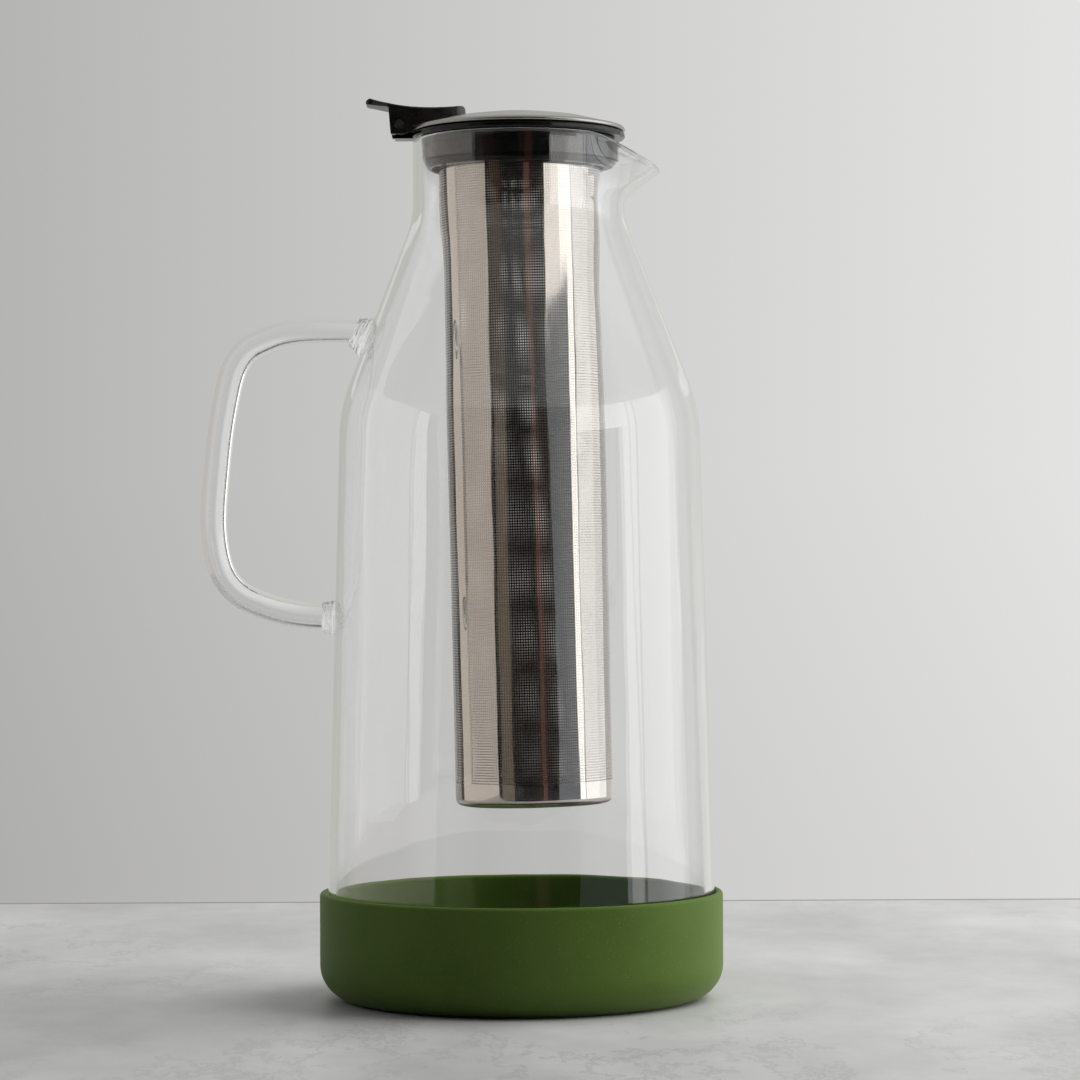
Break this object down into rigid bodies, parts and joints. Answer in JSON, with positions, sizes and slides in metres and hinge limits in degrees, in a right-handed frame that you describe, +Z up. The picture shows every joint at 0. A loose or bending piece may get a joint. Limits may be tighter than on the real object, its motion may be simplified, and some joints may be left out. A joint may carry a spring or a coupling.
{
  "type": "iced tea maker",
  "caption": "Tall glass pitcher with a pouring lip and looped glass handle, a silicone boot, a hinged steel lid with a thumb lever, and a long perforated steel infuser hanging from the collar.",
  "frame": {"origin": "centre of the boot's flat underside, on the surface that the object stands on", "axes": "+Z up along the carafe's axis, +X towards the pouring lip, with the handle and the hinge at -X"},
  "size_m": [0.156, 0.1206, 0.2686],
  "materials": {
    "green_silicone": "matte",
    "clear_glass": "clear",
    "black_plastic": "gloss",
    "black_silicone": "satin",
    "mirror_steel": "mirror",
    "satin_steel": "satin",
    "pin_steel": "satin"
  },
  "bodies": {
    "boot": {"base_sleeve": "green_silicone"},
    "carafe": {"glass_carafe": "clear_glass", "carafe_handle": "clear_glass"},
    "collar": {"lid_collar": "black_plastic", "collar_gasket": "black_silicone", "hinge_pin": "pin_steel"},
    "infuser": {"infuser_rim": "mirror_steel", "infuser_tube": "mirror_steel", "infuser_base": "mirror_steel"},
    "lid": {"lid_cap": "satin_steel", "lid_liner": "black_plastic", "lid_seal": "black_silicone", "thumb_lever": "black_plastic", "lever_screw_left": "pin_steel", "lever_screw_right": "pin_steel"}
  },
  "joints": [
    {"name": "carafe_lift", "type": "slide", "parent": "boot", "child": "carafe", "axis": [0, 0, 1], "range_m": [0, 0.05]},
    {"name": "collar_lift", "type": "slide", "parent": "carafe", "child": "collar", "axis": [0, 0, 1], "range_m": [0, 0.21]},
    {"name": "infuser_twist", "type": "hinge", "parent": "collar", "child": "infuser", "pos_m": [0, 0, 0.2497], "axis": [-0.0218, 0, 0.9998], "range_deg": [0, 60]},
    {"name": "lid_hinge", "type": "hinge", "parent": "collar", "child": "lid", "pos_m": [-0.0355, 0, 0.2615], "axis": [0, -1, 0], "range_deg": [0, 85]}
  ]
}
